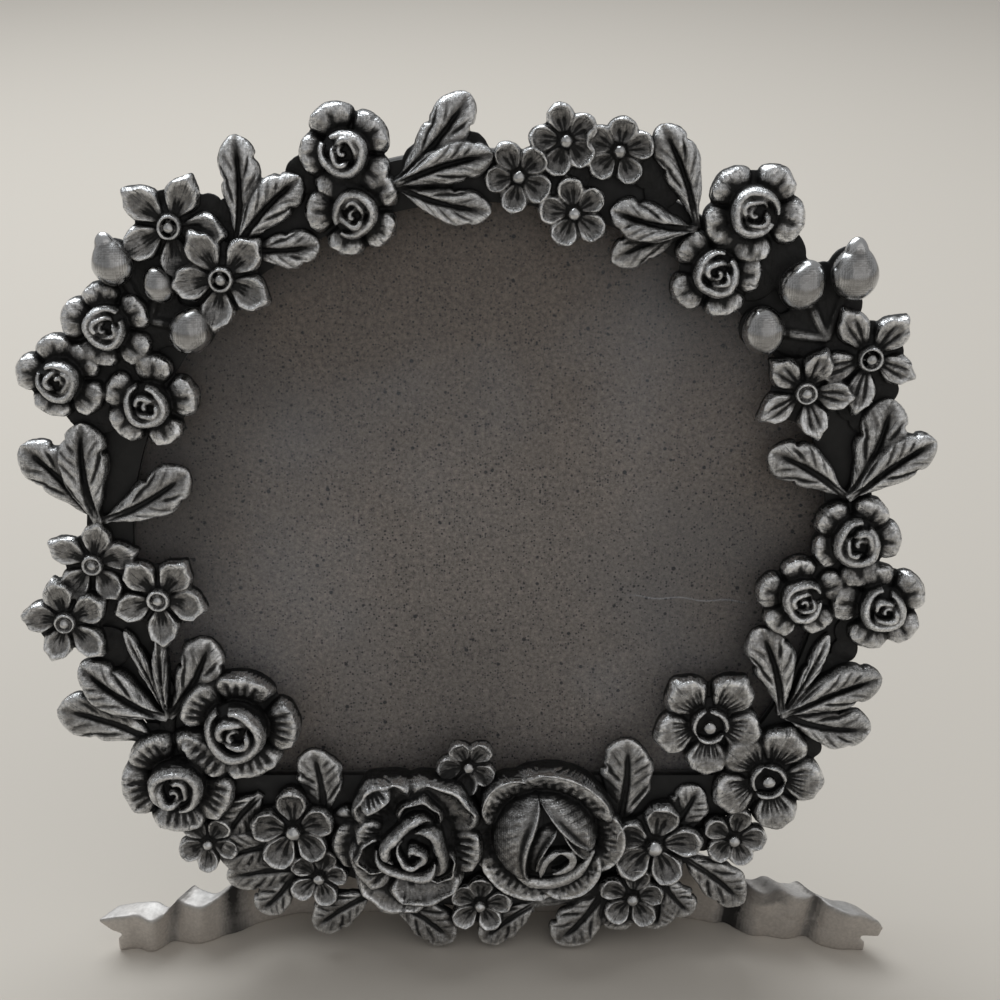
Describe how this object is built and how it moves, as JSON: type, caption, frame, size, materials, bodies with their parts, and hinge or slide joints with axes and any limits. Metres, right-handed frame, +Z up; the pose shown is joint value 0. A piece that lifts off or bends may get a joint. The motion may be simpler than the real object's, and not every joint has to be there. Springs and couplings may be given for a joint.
{
  "type": "picture frame",
  "caption": "Round leaning picture frame of cast pewter: a ring wreathed in flowers and leaves round a glazed window, a ribbon foot, and a folding easel leg behind.",
  "frame": {"origin": "under the middle of the whole frame, on the surface that it stands on", "axes": "+Z up, the window faces -Y and leans back 10 degrees, +X to the viewer's right"},
  "size_m": [0.0912, 0.0352, 0.0895],
  "materials": {
    "antiqued_pewter": "cast, blackened in the recesses and rubbed bright on the edges",
    "satin_pewter": "cast, smooth satin",
    "plated_steel": "plated, satin",
    "clear_glazing": "clear, lightly scratched",
    "grey_chipboard": "matt, finely speckled",
    "black_board": "matt, black paper faced"
  },
  "bodies": {
    "frame": {"frame_ring": "antiqued_pewter", "glazing": "clear_glazing", "backing_card": "grey_chipboard", "back_panel": "black_board", "ribbon_foot": "satin_pewter", "rosebud_large": "antiqued_pewter", "rose_large_open": "antiqued_pewter", "blossom_centre_top": "antiqued_pewter", "blossom_centre_low": "antiqued_pewter", "rose_pair_low_left": "antiqued_pewter", "anemone_pair": "antiqued_pewter", "rose_pair_top_left": "antiqued_pewter", "rose_pair_top_right": "antiqued_pewter", "rose_trio_right": "antiqued_pewter", "rose_trio_left": "antiqued_pewter", "blossom_cluster_top": "antiqued_pewter", "blossom_pair_right": "antiqued_pewter", "blossom_pair_upper_left": "antiqued_pewter", "blossom_trio_left": "antiqued_pewter", "blossom_pair_bottom_left": "antiqued_pewter", "blossom_low_left": "antiqued_pewter", "blossom_pair_bottom_right": "antiqued_pewter", "blossom_low_right": "antiqued_pewter", "bud_sprig_right": "antiqued_pewter", "bud_sprig_left": "antiqued_pewter", "leaf_spray_upper_left": "antiqued_pewter", "leaf_spray_top": "antiqued_pewter", "leaf_spray_top_right": "antiqued_pewter", "leaf_spray_right": "antiqued_pewter", "leaf_spray_low_right": "antiqued_pewter", "leaf_spray_left": "antiqued_pewter", "leaf_spray_low_left": "antiqued_pewter", "leaves_bottom_left": "antiqued_pewter", "leaf_bottom_left_up": "antiqued_pewter", "leaves_bottom_centre": "antiqued_pewter", "leaf_bottom_right_up": "antiqued_pewter", "leaves_bottom_right": "antiqued_pewter", "button_rivet_top": "plated_steel", "button_rivet_left": "plated_steel", "button_rivet_right": "plated_steel", "hinge_bracket": "plated_steel", "hinge_pin": "plated_steel", "bracket_rivet_left": "plated_steel", "bracket_rivet_right": "plated_steel"},
    "easel": {"easel_leg": "satin_pewter"},
    "turn_button_top": {"turn_button_top": "plated_steel"},
    "turn_button_left": {"turn_button_left": "plated_steel"},
    "turn_button_right": {"turn_button_right": "plated_steel"}
  },
  "joints": [
    {"name": "easel_fold", "type": "hinge", "parent": "frame", "child": "easel", "pos_m": [0.00074, 0.00362, 0.05741], "axis": [1, 0, 0], "range_deg": [-21, 0]},
    {"name": "button_top_turn", "type": "hinge", "parent": "frame", "child": "turn_button_top", "pos_m": [0.00074, 0.00532, 0.08148], "axis": [0, 0.9848, -0.1736], "continuous": true},
    {"name": "button_left_turn", "type": "hinge", "parent": "frame", "child": "turn_button_left", "pos_m": [-0.03217, -0.00457, 0.02535], "axis": [0, 0.9848, -0.1736], "continuous": true},
    {"name": "button_right_turn", "type": "hinge", "parent": "frame", "child": "turn_button_right", "pos_m": [0.03365, -0.00457, 0.02535], "axis": [0, 0.9848, -0.1736], "continuous": true}
  ]
}
